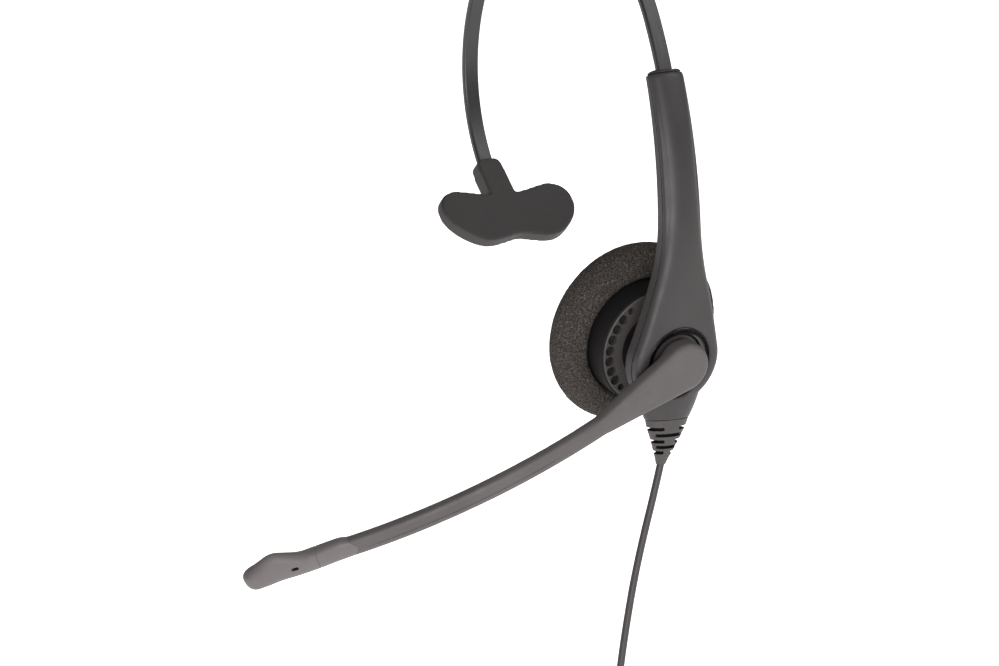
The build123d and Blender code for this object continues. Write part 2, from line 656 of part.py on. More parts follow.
with BuildPart() as ear_cushion:
    add(turned([(0, CUSHION_FRONT + 0.8), (15, CUSHION_FRONT), (19.8, CUSHION_FRONT), (22.6, -4.2),
                (24.4, -2.0), (CUSHION_RADIUS, 0.4), (24.2, 3.2), (21.0, CUSHION_BACK),
                (17.6, CUSHION_BACK), (REAR_RADIUS + 0.3, 4.4), (REAR_RADIUS + 0.3, 2.2), (22.6, 2.2),
                (22.6, -3.0), (0, -3.0)]))
save(ear_cushion.part, "ear_cushion")

# ---------------------------------------------------------------- strain relief and cord
with BuildPart() as strain_relief:
    with BuildSketch(Plane.XY.offset(HOUSING_BASE)):
        with Locations(BOOT_TOP[:2]):
            Ellipse(3.4, 6.4)
    with BuildSketch(Plane.XY.offset(HOUSING_BASE - 5)):
        with Locations((16.9, -0.4)):
            Ellipse(2.9, 4.2)
    with BuildSketch(Plane.XY.offset(CORD_EXIT[2])):
        with Locations(CORD_EXIT[:2]):
            Circle(BOOT_END_RADIUS)
    loft()
    # staggered slots let the boot bend
    for row in range(SLOT_ROWS):
        height = HOUSING_BASE - 2.6 - 1.5 * row
        with BuildSketch(Plane.XY.offset(height - 0.4)):
            if row % 2:
                with Locations((BOOT_TOP[0] + 5.0, -0.5), (BOOT_TOP[0] - 5.0, -0.5)):
                    Rectangle(7.0, 9 - 1.2 * row)
            else:
                with Locations((BOOT_TOP[0], -6.9), (BOOT_TOP[0], 5.9)):
                    Rectangle(12, 10)
        extrude(amount=0.8, mode=Mode.SUBTRACT)
    core = Plane(origin=BOOT_TOP, x_dir=(1, 0, 0), z_dir=Vector(*CORD_EXIT) - Vector(*BOOT_TOP))
    with BuildSketch(core.offset(-3)):
        Circle(CORD_BORE)
    extrude(amount=20, mode=Mode.SUBTRACT)
save(strain_relief.part, "strain_relief")

with BuildPart() as cord_stub:
    reach = (Vector(*CORD_EXIT) - Vector(*BOOT_TOP)).length
    with BuildSketch(core.offset(-5.5)):
        Circle(CORD_DIAMETER / 2)
    extrude(amount=5.5 + reach + 2, dir=core.z_dir)
    split(bisect_by=Plane.XY.offset(CORD_EXIT[2]), keep=Keep.TOP)
save(cord_stub.part, "cord_stub")

with BuildPart() as cord_anchor:
    with BuildSketch(core.offset(-4.6)):
        RectangleRounded(3.4, 6.2, 0.8)
        Circle(CORD_DIAMETER / 2 + 0.01, mode=Mode.SUBTRACT)
    extrude(amount=3.2)
save(cord_anchor.part, "cord_anchor")


def cord_tube(points):
    """A tube on straight runs joined by the largest tangent arcs that the runs leave room for."""
    points = [Vector(*p) for p in points]
    radii = []
    for before, corner, after in zip(points, points[1:], points[2:]):
        turn = radians((corner - before).get_angle(after - corner))
        shorter = min((corner - before).length, (after - corner).length)
        radii.append(0.45 * shorter / tan(turn / 2))
    print("cord radii", [round(r, 1) for r in radii])
    with BuildPart() as tube:
        with BuildLine() as route:
            FilletPolyline(*points, radius=radii)
        with BuildSketch(Plane(origin=points[0], z_dir=points[1] - points[0])):
            Circle(CORD_DIAMETER / 2)
        sweep(path=route.wire())
    length = route.wire().length
    section = 3.14159265 * CORD_DIAMETER**2 / 4
    print("cord tube length", round(length, 1), "volume ratio", tube.part.volume / (section * length))
    return tube.part


save(cord_tube(LEAD_ROUTE), "cord_lead")
save(cord_tube(TAIL_ROUTE), "cord_tail")

with BuildPart() as cord_hank:
    with BuildSketch(Plane.XY.offset(HANK_TOP)):
        with Locations((HANK_X, HANK_Y)):
            RectangleRounded(HANK_DEPTH, HANK_WIDTH, 3.5)
    extrude(amount=-HANK_LENGTH)
save(cord_hank.part, "cord_hank")

with BuildPart() as cord_tie:
    with BuildSketch(Plane.XY.offset(HANK_TOP - HANK_LENGTH / 2 - TIE_WIDTH / 2)):
        with Locations((HANK_X, HANK_Y)):
            RectangleRounded(HANK_DEPTH + 1.8, HANK_WIDTH + 1.8, 4.3)
            RectangleRounded(HANK_DEPTH + 0.1, HANK_WIDTH + 0.1, 3.5, mode=Mode.SUBTRACT)
    extrude(amount=TIE_WIDTH)
save(cord_tie.part, "cord_tie")

# ---------------------------------------------------------------- plug
with BuildPart() as plug_boot:
    for height, radius in ((HANK_TOP, 1.7), (PLUG_BODY_TOP, 2.6)):
        with BuildSketch(Plane.XY.offset(height)):
            with Locations((PLUG_X, PLUG_Y)):
                Circle(radius)
    loft()
save(plug_boot.part, "plug_boot")

with BuildPart() as plug_body:
    with BuildSketch(Plane.XY.offset(PLUG_BODY_END)):
        with Locations((PLUG_X, PLUG_Y)):
            Circle(3.9)
            Rectangle(6.6, 12, mode=Mode.INTERSECT)
    extrude(amount=PLUG_BODY_TOP - PLUG_BODY_END)
    fillet(plug_body.faces().filter_by(Axis.Z).edges(), 0.8)
save(plug_body.part, "plug_body")


def pin_piece(sections):
    """A turned piece of the plug's pin from (distance below the body, radius) stations."""
    with BuildPart() as piece:
        with BuildSketch(Plane(origin=(PLUG_X, PLUG_Y, PLUG_BODY_END), x_dir=(1, 0, 0),
                               z_dir=(0, 1, 0))):
            with BuildLine():
                outline = [(0, sections[0][0])] + [(r, d) for d, r in sections]
                Polyline(*outline, (0, sections[-1][0]), close=True)
            make_face()
        revolve(axis=Axis((PLUG_X, PLUG_Y, 0), (0, 0, 1)))
    return piece.part


for name, start, end in CONTACTS:
    save(pin_piece([(start, PIN_RADIUS), (end, PIN_RADIUS)]), name)
save(pin_piece([(11.6, PIN_RADIUS), (12.0, 1.35), (12.6, 1.35), (13.3, 1.7), (14.0, 0.7)]), "plug_tip")
with BuildPart() as plug_insulators:
    for start, end in INSULATORS:
        add(pin_piece([(start, PIN_RADIUS), (end, PIN_RADIUS)]))
save(plug_insulators.part, "plug_insulators")
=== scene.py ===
import json
from math import cos, exp, pi, radians, sin

import bpy
import numpy as np
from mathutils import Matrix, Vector, noise


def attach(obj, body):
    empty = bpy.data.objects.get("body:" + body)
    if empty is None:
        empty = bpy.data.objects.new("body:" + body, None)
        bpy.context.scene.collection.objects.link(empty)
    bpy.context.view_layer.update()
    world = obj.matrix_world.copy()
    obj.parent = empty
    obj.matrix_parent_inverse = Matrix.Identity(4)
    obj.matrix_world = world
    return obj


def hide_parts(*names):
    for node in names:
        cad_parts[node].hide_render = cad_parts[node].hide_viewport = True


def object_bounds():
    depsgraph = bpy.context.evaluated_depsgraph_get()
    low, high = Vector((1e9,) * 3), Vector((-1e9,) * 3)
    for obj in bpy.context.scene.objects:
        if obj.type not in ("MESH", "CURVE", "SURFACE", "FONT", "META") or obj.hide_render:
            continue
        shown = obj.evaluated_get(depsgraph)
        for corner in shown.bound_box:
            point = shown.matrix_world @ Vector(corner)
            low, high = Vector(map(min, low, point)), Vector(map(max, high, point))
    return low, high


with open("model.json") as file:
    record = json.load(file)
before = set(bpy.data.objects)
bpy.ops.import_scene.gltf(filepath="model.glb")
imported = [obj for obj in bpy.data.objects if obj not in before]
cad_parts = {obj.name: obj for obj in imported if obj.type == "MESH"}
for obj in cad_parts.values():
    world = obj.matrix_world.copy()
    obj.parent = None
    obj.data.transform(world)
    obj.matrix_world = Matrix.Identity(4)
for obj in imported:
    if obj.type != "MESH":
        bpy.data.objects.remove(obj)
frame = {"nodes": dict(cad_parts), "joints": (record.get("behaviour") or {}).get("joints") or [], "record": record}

MM = 0.001
cad_low, cad_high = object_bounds()
joints = {joint["name"]: joint for joint in frame["joints"]}

# ---------------------------------------------------------------- the ear frame
EAR_OUT = Vector(joints["boom_swing"]["axis"]).normalized()  # away from the head
EAR_AHEAD = Vector((0, -1, 0))
EAR_DOWN = EAR_OUT.cross(EAR_AHEAD)


def ear_point(ahead, down, out):
    """A point from its distances, in millimetres, along the ear axis and across it."""
    return (EAR_AHEAD * ahead + EAR_DOWN * down + EAR_OUT * out) * MM


def placed_object(name, data):
    """A new object in the scene's collection."""
    made = bpy.data.objects.new(name, data)
    bpy.context.scene.collection.objects.link(made)
    return made


def smooth_shaded(mesh):
    mesh.polygons.foreach_set("use_smooth", [True] * len(mesh.polygons))


# ---------------------------------------------------------------- camera
VIEW_AZIMUTH, VIEW_ELEVATION = radians(58), radians(10)
VIEW_DISTANCE = 1.6  # metres
VIEW_AIM = Vector((-0.01814, -0.02933, -0.00091))
LENS, SENSOR = 219.7, 36
CLIP_NEAR, CLIP_FAR = 0.05, 60

camera = placed_object("camera", bpy.data.cameras.new("camera"))
bpy.context.scene.camera = camera
towards_viewer = Vector((
    sin(VIEW_AZIMUTH) * cos(VIEW_ELEVATION),
    -cos(VIEW_AZIMUTH) * cos(VIEW_ELEVATION),
    sin(VIEW_ELEVATION),
))
camera.location = VIEW_AIM + towards_viewer * VIEW_DISTANCE
camera.rotation_mode = "QUATERNION"
camera.rotation_quaternion = (-towards_viewer).to_track_quat("-Z", "Y")
camera.data.lens = LENS
camera.data.sensor_width = SENSOR
camera.data.clip_start, camera.data.clip_end = CLIP_NEAR, CLIP_FAR

# ---------------------------------------------------------------- cord
CORD_DIAMETER = 2.0
CORD_EXIT = (16.2, -1.2, -33.0)
LEAD_ROUTE = [
    CORD_EXIT,
    (15.8, -3.0, -41.0),
    (15.3, -5.6, -51.0),
    (15.0, -8.4, -62.5),
    (15.0, -11.0, -75.5),
    (15.0, -13.1, -88.5),
    (15.1, -14.5, -101.0),
]
TAIL_ROUTE = [
    (16.4, -26.0, -112.0),
    (17.3, -26.2, -106.0),
    (17.2, -26.3, -99.5),
    (15.4, -26.6, -93.2),
    (14.4, -29.6, -89.4),
    (14.2, -36.0, -88.9),
    (14.0, -39.9, -92.5),
    (14.0, -40.3, -101.0),
]
HANK_CENTRE = (10.2, -21.4, -121.0)
LOOP_START = 12.0  # height above the middle at which the end loops begin
OUTER_TURNS, OUTER_LOOP, OUTER_WAIST = 5, 7.0, 4.6
INNER_TURNS, INNER_LOOP, INNER_WAIST = 5.5, 4.9, 2.4
TURN_PITCH = 2.1
BEND_ANGLES = (22.5, 67.5, 112.5, 157.5)
POINTS_PER_TURN = 14


def oval_turn(loop, waist):
    """Control points round a flattened turn, as (y, z): a leg, which the tie pinches, then a bend, twice."""
    reach = loop / cos(radians(22.5))
    half = [(loop, 8.0), (waist, 0.0), (loop, -8.0)]
    half += [(reach * cos(radians(a)), -LOOP_START - reach * sin(radians(a))) for a in BEND_ANGLES]
    return half + [(-y, -z) for y, z in half]


def hank_layer(turns, loop, waist, first_x, last_x):
    """One layer of turns side by side, from one face of the hank to the other."""
    oval = oval_turn(loop, waist)
    count = round(turns * POINTS_PER_TURN)
    points = []
    for i in range(count):
        y, z = oval[i % POINTS_PER_TURN]
        x = first_x + (last_x - first_x) * i / (count - 1)
        points.append((HANK_CENTRE[0] + x, HANK_CENTRE[1] + y, HANK_CENTRE[2] + z))
    return points


def hank_points():
    """The put-away length: an outer layer laid towards the head and an inner one laid back out."""
    outer_edge = (OUTER_TURNS - 0.3) * TURN_PITCH / 2
    inner_edge = (INNER_TURNS - 0.8) * TURN_PITCH / 2
    return (hank_layer(OUTER_TURNS, OUTER_LOOP, OUTER_WAIST, outer_edge, -outer_edge)
            + hank_layer(INNER_TURNS, INNER_LOOP, INNER_WAIST, -inner_edge, inner_edge))


def nurbs(name, points, diameter):
    """A round cord on one open NURBS spline through the given control points, in millimetres."""
    curve = bpy.data.curves.new(name, "CURVE")
    curve.dimensions = "3D"
    spline = curve.splines.new("NURBS")
    spline.points.add(len(points) - 1)
    for point, place in zip(spline.points, points):
        point.co = (*(c * MM for c in place), 1)
        point.radius = diameter / 2 * MM
    spline.order_u = 3
    spline.use_endpoint_u = True
    spline.resolution_u = 6
    curve.bevel_depth = 1.0  # multiplied by each point's radius
    curve.bevel_resolution = 4
    curve.use_fill_caps = True
    return placed_object(name, curve)


lead = nurbs("lead", LEAD_ROUTE + hank_points() + TAIL_ROUTE, CORD_DIAMETER)
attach(lead, "arm")
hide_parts("cord_lead", "cord_hank", "cord_tail")


# ---------------------------------------------------------------- material building blocks
class Maker:
    """A procedural material under construction. Coordinates are the object's own, in metres."""

    def __init__(self, name):
        self.material = bpy.data.materials.new(name)
        self.material.use_nodes = True
        self.tree = self.material.node_tree
        self.shader = self.tree.nodes["Principled BSDF"]
        self.place = self.tree.nodes.new("ShaderNodeTexCoord").outputs["Object"]

    def node(self, kind, inputs=(), **settings):
        made = self.tree.nodes.new(kind)
        for name, value in settings.items():
            setattr(made, name, value)
        for name, value in dict(inputs).items():
            if isinstance(value, bpy.types.NodeSocket):
                self.tree.links.new(value, made.inputs[name])
            else:
                made.inputs[name].default_value = value
        return made

    def stretched(self, x, y, z):
        """The coordinates, scaled along each axis."""
        return self.node("ShaderNodeMapping", {"Vector": self.place, "Scale": (x, y, z)}).outputs[0]

    def noise(self, size_mm, detail=2.0, place=None, roughness=0.5):
        """Soft noise with features of about this size."""
        made = self.node("ShaderNodeTexNoise", {
            "Vector": place or self.place, "Scale": 1 / (size_mm * MM), "Detail": detail, "Roughness": roughness})
        return made.outputs["Fac"]

    def cells(self, size_mm, feature="F1", place=None):
        """Distance within cells of about this size."""
        made = self.node("ShaderNodeTexVoronoi", {"Vector": place or self.place, "Scale": 1 / (size_mm * MM)},
                         feature=feature)
        return made.outputs["Distance"]

    def ramp(self, factor, *stops):
        """A colour or grey ramp from (position, value) stops."""
        made = self.node("ShaderNodeValToRGB", {"Fac": factor})
        elements = made.color_ramp.elements
        while len(elements) < len(stops):
            elements.new(0.5)
        for element, (position, value) in zip(elements, stops):
            element.position = position
            element.color = (*value, 1) if hasattr(value, "__len__") else (value, value, value, 1)
        return made.outputs["Color"]

    def mixed(self, factor, under, over):
        """The colour under, with the colour over laid on it by a factor."""
        made = self.node("ShaderNodeMix", data_type="RGBA")
        for index, value in ((0, factor), (6, under), (7, over)):
            if isinstance(value, bpy.types.NodeSocket):
                self.tree.links.new(value, made.inputs[index])
            else:
                made.inputs[index].default_value = (*value, 1)
        return made.outputs[2]

    def math(self, operation, a, b=0.0):
        made = self.node("ShaderNodeMath", operation=operation)
        for socket, value in zip(made.inputs, (a, b)):
            if isinstance(value, bpy.types.NodeSocket):
                self.tree.links.new(value, socket)
            else:
                socket.default_value = value
        return made.outputs[0]

    def bump(self, height, depth_mm, under=None, strength=1.0):
        """A bump of this depth, on top of an earlier one."""
        inputs = {"Height": height, "Distance": depth_mm * MM, "Strength": strength}
        if under is not None:
            inputs["Normal"] = under
        return self.node("ShaderNodeBump", inputs).outputs["Normal"]

    def set(self, **values):
        """Sets or links the shader's sockets; an underscore in a name stands for a space."""
        for name, value in values.items():
            socket = self.shader.inputs[name.replace("_", " ")]
            if isinstance(value, bpy.types.NodeSocket):
                self.tree.links.new(value, socket)
            else:
                socket.default_value = (*value, 1) if hasattr(value, "__len__") and len(value) == 3 else value
        return self.material


def shade(colour, factor):
    return tuple(min(1.0, c * factor) for c in colour)


def moulded(name, colour, roughness, grain_mm=0.22, grain_depth=0.012, specular=0.5, variation=0.12):
    """Injection-moulded plastic: a fine eroded grain, faint flow marks and a slightly uneven sheen."""
    m = Maker(name)
    flow = m.noise(14, 3, m.stretched(1, 1, 0.4))
    fine = m.noise(grain_mm, 2)
    tint = m.ramp(flow, (0.3, shade(colour, 1 - variation)), (0.7, shade(colour, 1 + variation)))
    sheen = m.ramp(m.noise(5, 4), (0.3, roughness - 0.05), (0.7, roughness + 0.05))
    waves = m.bump(flow, 0.05, strength=0.25)
    return m.set(Base_Color=tint, Roughness=sheen, Normal=m.bump(fine, grain_depth, waves),
                 Specular_IOR_Level=specular)


def banded(name, colour, roughness):
    """Satin band plastic, with faint lines drawn along its length."""
    m = Maker(name)
    lines = m.noise(0.25, 3, m.stretched(0.03, 1, 0.03))
    flow = m.noise(9, 3)
    tint = m.ramp(flow, (0.3, shade(colour, 0.88)), (0.7, shade(colour, 1.12)))
    sheen = m.ramp(lines, (0.3, roughness - 0.05), (0.7, roughness + 0.06))
    grain = m.bump(m.noise(0.2, 2), 0.008)
    return m.set(Base_Color=tint, Roughness=sheen, Normal=m.bump(lines, 0.01, grain), Specular_IOR_Level=0.5)


def rubber(name, colour, roughness, grain_mm=0.3, depth=0.012):
    """Soft matte rubber with a slight bloom."""
    m = Maker(name)
    bloom = m.noise(3, 5)
    tint = m.ramp(bloom, (0.3, shade(colour, 0.85)), (0.75, shade(colour, 1.2)))
    sheen = m.ramp(bloom, (0.3, roughness - 0.06), (0.7, roughness + 0.06))
    return m.set(Base_Color=tint, Roughness=sheen, Normal=m.bump(m.noise(grain_mm, 3), depth),
                 Specular_IOR_Level=0.4)


def polished(name, colour, roughness=0.06):
    """Glossy plastic with the faintest ripple."""
    m = Maker(name)
    ripple = m.noise(4, 2)
    sheen = m.ramp(m.noise(1.5, 3), (0.35, roughness), (0.75, roughness + 0.06))
    tint = m.ramp(ripple, (0.3, shade(colour, 0.9)), (0.7, shade(colour, 1.1)))
    return m.set(Base_Color=tint, Roughness=sheen, Normal=m.bump(ripple, 0.02, strength=0.3),
                 Specular_IOR_Level=0.55)


def metal(name, colour, roughness):
    """Plated or rolled metal with fine brushing."""
    m = Maker(name)
    lines = m.noise(0.2, 3, m.stretched(1, 1, 0.05))
    tint = m.ramp(m.noise(2, 4), (0.3, shade(colour, 0.85)), (0.7, colour))
    sheen = m.ramp(lines, (0.3, roughness - 0.06), (0.7, roughness + 0.08))
    return m.set(Base_Color=tint, Roughness=sheen, Metallic=1.0, Normal=m.bump(lines, 0.004))


def woven(name, colour):
    """Fine acoustic cloth: two crossed sets of threads, with painted shade in the gaps and painted highlights on
    the crests.
    """
    m = Maker(name)
    weave = [m.node("ShaderNodeTexWave", {"Vector": m.place, "Scale": 1 / (0.25 * MM) / 6.28, "Distortion": 0.4},
                    bands_direction=way).outputs["Fac"] for way in "YZ"]
    height = m.math("MULTIPLY", *weave)
    # painted shade and highlight: the thread colour darkens where the weave is low and lightens where it is high
    tint = m.ramp(height, (0.2, shade(colour, 0.4)), (0.8, shade(colour, 1.5)))
    return m.set(Base_Color=tint, Roughness=0.9, Normal=m.bump(height, 0.05), Specular_IOR_Level=0.2)


def foam(name, colour, glint_colour):
    """Open-cell foam: painted shade in the pores between struts, and painted glints where some struts catch the
    light.
    """
    m = Maker(name)
    pores = m.cells(0.5)
    fine = m.noise(0.3, 3, roughness=0.7)
    # painted shade: the colour darkens towards the middle of each pore
    struts_and_pore_shade = m.ramp(pores, (0.15, shade(colour, 0.45)), (0.75, shade(colour, 1.5)))
    # painted glints: scattered specks are lightened towards the glint colour
    painted_glints = m.ramp(m.noise(0.42, 1), (0.64, 0.0), (0.74, 0.8))
    m.set(Base_Color=m.mixed(painted_glints, struts_and_pore_shade, glint_colour), Roughness=0.95, Specular_IOR_Level=0.1)
    return m.set(Normal=m.bump(pores, 0.3, m.bump(fine, 0.12)))


# ---------------------------------------------------------------- materials of the CAD nodes
BLACK = (0.058, 0.051, 0.052)
CHARCOAL = (0.034, 0.029, 0.029)
WARM_GREY = (0.066, 0.058, 0.058)
STEEL = (0.62, 0.61, 0.60)
GOLD = (0.83, 0.64, 0.32)

shell_black = moulded("shell_black", shade(BLACK, 0.48), 0.46, specular=0.35)
# partly painted shade: the housing's dark plastic is made darker still to stand for the shade on the wall between
# the foam and the vent plate
housing_black = moulded("housing_black", shade(BLACK, 0.12), 0.6, specular=0.2)
band_black = banded("band_black", shade(BLACK, 0.2), 0.38)
pad_rubber = rubber("pad_rubber", shade(CHARCOAL, 0.8), 0.62)
boot_rubber = rubber("boot_rubber", shade(CHARCOAL, 1.3), 0.55)
cord_jacket = rubber("cord_jacket", shade(CHARCOAL, 0.95), 0.48, grain_mm=0.5, depth=0.008)
gasket_rubber = rubber("gasket_rubber", shade(BLACK, 0.4), 0.7)
gloss_black = polished("gloss_black", (0.006, 0.006, 0.006))
diaphragm_film = polished("diaphragm_film", (0.42, 0.38, 0.30), 0.2)
boom_grey = moulded("boom_grey", WARM_GREY, 0.5, grain_mm=0.18, grain_depth=0.01, specular=0.4)
# painted light: a lighter copy of the boom's grey, standing for the brighter light on the microphone
mic_grey_painted_lit = moulded("mic_grey_painted_lit", shade(WARM_GREY, 1.5), 0.48, grain_mm=0.18, grain_depth=0.01, specular=0.4)
# painted shade: a near-black stand-in for the shade inside the microphone's port and the strain relief's grooves
painted_hole_shade = moulded("painted_hole_shade", (0.004, 0.004, 0.004), 0.8, specular=0.1)
vent_grey = moulded("vent_grey", (0.050, 0.045, 0.043), 0.5, specular=0.3)
gimbal_plastic = moulded("gimbal_plastic", (0.05, 0.05, 0.05), 0.4)
insulator = moulded("insulator", (0.012, 0.012, 0.012), 0.35)
tie_plastic = rubber("tie_plastic", shade(BLACK, 0.4), 0.6)
spring_steel = metal("spring_steel", STEEL, 0.32)
screw_steel = metal("screw_steel", STEEL, 0.25)
driver_metal = metal("driver_metal", shade(STEEL, 0.8), 0.4)
contact_metal = metal("contact_metal", GOLD, 0.18)
acoustic_cloth = woven("acoustic_cloth", (0.02, 0.02, 0.02))
# the last colour is the painted glint colour on the foam's struts
foam_black = foam("foam_black", (0.038, 0.033, 0.030), (0.17, 0.15, 0.13))

SLOT_MATERIALS = {
    "band_black": band_black, "shell_black": shell_black, "pad_rubber": pad_rubber, "spring_steel": spring_steel,
    "screw_steel": screw_steel, "gloss_black": gloss_black, "boot_rubber": boot_rubber,
    "cord_jacket": cord_jacket, "tie_plastic": tie_plastic, "contact_metal": contact_metal,
    "insulator": insulator, "gimbal_plastic": gimbal_plastic, "housing_black": housing_black,
    "acoustic_cloth": acoustic_cloth, "vent_grey": vent_grey, "driver_metal": driver_metal,
    "diaphragm_film": diaphragm_film, "foam": foam_black, "boom_grey": boom_grey, "gasket_rubber": gasket_rubber,
}
for part in frame["record"]["subparts"]:
    node = frame["nodes"][part["node"]]
    if not node.data.materials:
        node.data.materials.append(None)
    for index in range(len(node.material_slots)):
        node.material_slots[index].material = SLOT_MATERIALS[part["material_slot"]]
lead.data.materials.append(cord_jacket)


# ---------------------------------------------------------------- foam cushion
def smooth_profile(corners, steps):
    """A closed outline of (radius, h) corners, rounded by cutting each corner twice."""
    points = [Vector(c) for c in corners]
    for _ in range(steps):
        points = [a.lerp(b, t) for a, b in zip(points, points[1:] + points[:1]) for t in (0.25, 0.75)]
    return points


def lathe(name, profile, segments):
    """A closed ring of faces about the ear axis from a closed (radius, h) outline, in millimetres."""
    count = len(profile)
    vertices, faces = [], []
    for i in range(segments):
        turn = 2 * pi * i / segments
        vertices += [ear_point(r * cos(turn), r * sin(turn), h) for r, h in profile]
    for i in range(segments):
        here, there = i * count, (i + 1) % segments * count
        for k in range(count):
            following = (k + 1) % count
            faces.append((here + k, here + following, there + following, there + k))
    mesh = bpy.data.meshes.new(name)
    mesh.from_pydata(vertices, [], faces)
    return placed_object(name, mesh)


def resampled(profile, step):
    """The closed outline again, with points evenly spaced about step apart."""
    loop = profile + profile[:1]
    gaps = [(b - a).length for a, b in zip(loop, loop[1:])]
    along = np.concatenate([[0], np.cumsum(gaps)])
    at = np.linspace(0, along[-1], round(along[-1] / step) + 1)[:-1]
    return [(float(np.interp(d, along, [p.x for p in loop])), float(np.interp(d, along, [p.y for p in loop])))
            for d in at]


# the foam's section: crowned front, round rim, lip round the speaker's housing, hollow for the front plate
FOAM_SECTION = [
    (0.4, -5.2), (11.0, -5.8), (18.8, -5.7), (22.4, -4.1), (24.2, -1.5), (24.7, 1.1), (23.5, 3.9), (20.8, 5.8),
    (17.4, 5.9), (16.3, 4.4), (16.4, 2.3), (22.4, 2.3), (22.4, -2.6), (10.0, -3.1), (0.4, -3.1),
]
cushion = lathe("foam_cushion", resampled(smooth_profile(FOAM_SECTION, 3), 0.5), 360)
PORE_SIZE, PORE_DEPTH = 0.8, 0.1
LUMP_SIZE, LUMP_DEPTH = 9.0, 0.1
FOAM_SHRINK = 0.1  # keeps the bumpy surface within the plain one
mesh = cushion.data
normals = [v.normal.copy() for v in mesh.vertices]
for vertex, normal in zip(mesh.vertices, normals):
    place = vertex.co / MM
    pore = noise.noise(place / PORE_SIZE) + 0.5 * noise.noise(place / PORE_SIZE * 2.1)
    vertex.co += normal * MM * (PORE_DEPTH * pore + LUMP_DEPTH * noise.noise(place / LUMP_SIZE) - FOAM_SHRINK)
smooth_shaded(mesh)
mesh.materials.append(foam_black)
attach(cushion, "speaker")
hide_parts("ear_cushion")


# ---------------------------------------------------------------- lofted pieces
def placed_mesh(name, vertices, faces, body, slot_name, material):
    """A smooth-shaded mesh, in metres, that rides on a body."""
    mesh = bpy.data.meshes.new(name)
    mesh.from_pydata(vertices, [], faces)
    smooth_shaded(mesh)
    mesh.materials.append(material)
    made = placed_object(name, mesh)
    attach(made, body)
    return made


def skin(rings, closed=False):
    """Vertices and faces of a tube through rings of equally many points, capped unless it closes on itself."""
    count = len(rings[0])
    vertices = [point for ring in rings for point in ring]
    faces = []
    for i in range(len(rings) if closed else len(rings) - 1):
        here, there = i * count, (i + 1) % len(rings) * count
        for k in range(count):
            following = (k + 1) % count
            faces.append((here + k, here + following, there + following, there + k))
    if not closed:
        faces.append(tuple(reversed(range(count))))
        faces.append(tuple(range(len(vertices) - count, len(vertices))))
    return vertices, faces


def rounded(angle, power):
    """A point of a unit superellipse."""
    c, s = cos(angle), sin(angle)
    return (abs(c) ** (2 / power) * (1 if c > 0 else -1), abs(s) ** (2 / power) * (1 if s > 0 else -1))


def soften(piece, voxel_mm, passes):
    """Fuses a piece's overlapping solids into one skin and rounds its edges."""
    fuse = piece.modifiers.new("fused", "REMESH")
    fuse.mode, fuse.voxel_size = "VOXEL", voxel_mm * MM
    relax = piece.modifiers.new("softened", "SMOOTH")
    relax.factor, relax.iterations = 0.5, passes
    fused = bpy.data.meshes.new_from_object(piece.evaluated_get(bpy.context.evaluated_depsgraph_get()))
    piece.modifiers.clear()
    piece.data = fused
    smooth_shaded(fused)


def node_copy(name, node_name, material):
    """A copy of a CAD node, in one material, to be reshaped."""
    node = frame["nodes"][node_name]
    made = placed_object(name, node.data.copy())
    made.matrix_world = node.matrix_world
    made.data.materials.clear()
    made.data.materials.append(material)
    return made


def eased(table, at):
    """A value from (position, value) stations, eased smoothly from each to the next."""
    places, values = zip(*table)
    slopes = np.gradient(values, places)
    k = int(np.clip(np.searchsorted(places, at) - 1, 0, len(places) - 2))
    span = places[k + 1] - places[k]
    t = float(np.clip((at - places[k]) / span, 0, 1))
    return ((2 * t**3 - 3 * t**2 + 1) * values[k] + (t**3 - 2 * t**2 + t) * span * slopes[k]
            + (-2 * t**3 + 3 * t**2) * values[k + 1] + (t**3 - t**2) * span * slopes[k + 1])


# ---------------------------------------------------------------- microphone and boom
BOOM_H, BOOM_DROP, BOOM_STRAIGHT, BOOM_BEND, BOOM_LENGTH = 26.1, radians(31.0), 18.0, 165.0, 108.5
BOOM_FACE = 1.85  # from the boom's centre line to its outer face
BOOM_COURSE = EAR_AHEAD * cos(BOOM_DROP) + EAR_DOWN * sin(BOOM_DROP)
BOOM_UP = BOOM_COURSE.cross(EAR_OUT)


def boom_point(distance, up, out):
    """A point, in metres, from its millimetres along the boom's centre line and across it."""
    run = min(distance, BOOM_LENGTH)
    turn = max(run - BOOM_STRAIGHT, 0) / BOOM_BEND
    along = min(run, BOOM_STRAIGHT) + BOOM_BEND * sin(turn)
    inward = BOOM_BEND * (1 - cos(turn))
    tangent = BOOM_COURSE * cos(turn) - EAR_OUT * sin(turn)
    outward = EAR_OUT * cos(turn) + BOOM_COURSE * sin(turn)
    centre = EAR_OUT * (BOOM_H - inward) + BOOM_COURSE * along + tangent * (distance - run)
    return (centre + BOOM_UP * up + outward * out) * MM


# stations along the capsule from its seam: upper, lower and outward half sizes of its section
MIC_UP = [(-11.0, 2.5), (-9.0, 2.7), (-7.0, 3.2), (-4.0, 3.1), (0.0, 2.75), (3.0, 2.7), (5.5, 3.05),
          (8.2, 4.0), (11.0, 4.8), (13.0, 4.5), (15.0, 3.6), (17.0, 2.7), (20.7, 1.6)]
MIC_DOWN = [(-11.0, 2.6), (-4.0, 2.8), (0.0, 3.2), (6.0, 3.55), (11.5, 3.65), (15.0, 4.1), (20.7, 4.5)]
MIC_HALF_THICK = [(-11.0, 1.8), (-8.0, 2.15), (-4.0, 2.35), (0.0, 2.5), (6.0, 2.6), (12.0, 2.75), (20.7, 2.7)]
MIC_TIP, MIC_TIP_ROUND, MIC_TIP_POWER = 20.7, 3.4, 2.4
MIC_ROOF, MIC_BELLY = 1.75, 2.5  # how square the section is above and below its widest line
MIC_ROOF_RUN = 4.0  # over which the roof takes its own shape
MIC_STEP, MIC_SPOKES = 0.12, 192
